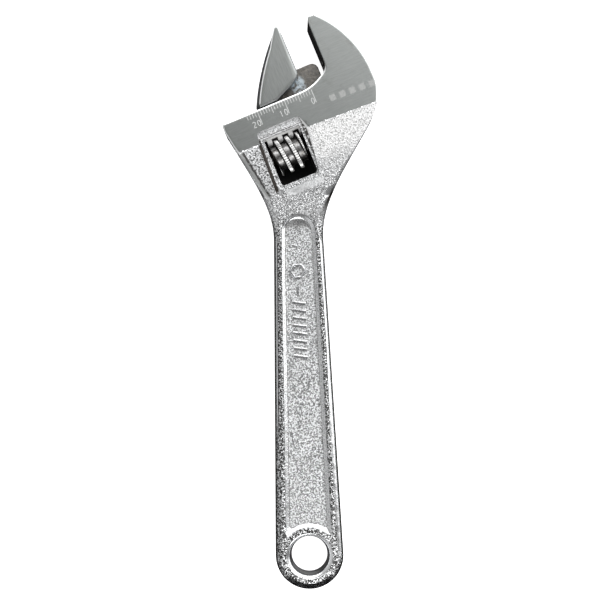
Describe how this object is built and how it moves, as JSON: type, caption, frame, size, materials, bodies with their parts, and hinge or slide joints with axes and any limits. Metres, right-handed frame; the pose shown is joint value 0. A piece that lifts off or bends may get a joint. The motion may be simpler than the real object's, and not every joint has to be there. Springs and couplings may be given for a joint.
{
  "type": "adjustable wrench",
  "caption": "Adjustable wrench: forged handle and fixed jaw with a hanging hole, a sliding jaw on a guide bar, and a knurled worm that moves it.",
  "frame": {"origin": "on the ground back face of the head, on the centreline of the handle, 3 mm towards the jaws from the channel of the sliding jaw", "axes": "+Y along the handle towards the head, +Z out of the front face, +X towards the fixed jaw's side; the wrench lies on its back face"},
  "size_m": [0.0414, 0.1534, 0.0105],
  "materials": {
    "forged_chrome": "pebbled bright chrome over the forging, with satin ground faces on the head",
    "ground_steel": "satin ground steel",
    "worm_steel": "turned steel with knurled thread crests",
    "pin_steel": "turned steel",
    "spring_steel": "dark spring wire"
  },
  "bodies": {
    "root": {"wrench_body": "forged_chrome", "worm_pin": "pin_steel", "worm_spring": "spring_steel"},
    "jaw": {"sliding_jaw": "ground_steel"},
    "worm": {"worm": "worm_steel"}
  },
  "joints": [
    {"name": "jaw_slide", "type": "slide", "parent": "root", "child": "jaw", "axis": [-0.9367, -0.3502, 0], "range_m": [-0.0076, 0.012]},
    {"name": "worm_spin", "type": "hinge", "parent": "root", "child": "worm", "pos_m": [0.00252, -0.00974, 0.00525], "axis": [0.9367, 0.3502, 0], "range_deg": [-915, 1443]}
  ],
  "couplings": [
    {"joint": "worm_spin", "follows": "jaw_slide", "rad_per_m": 2094.4}
  ]
}
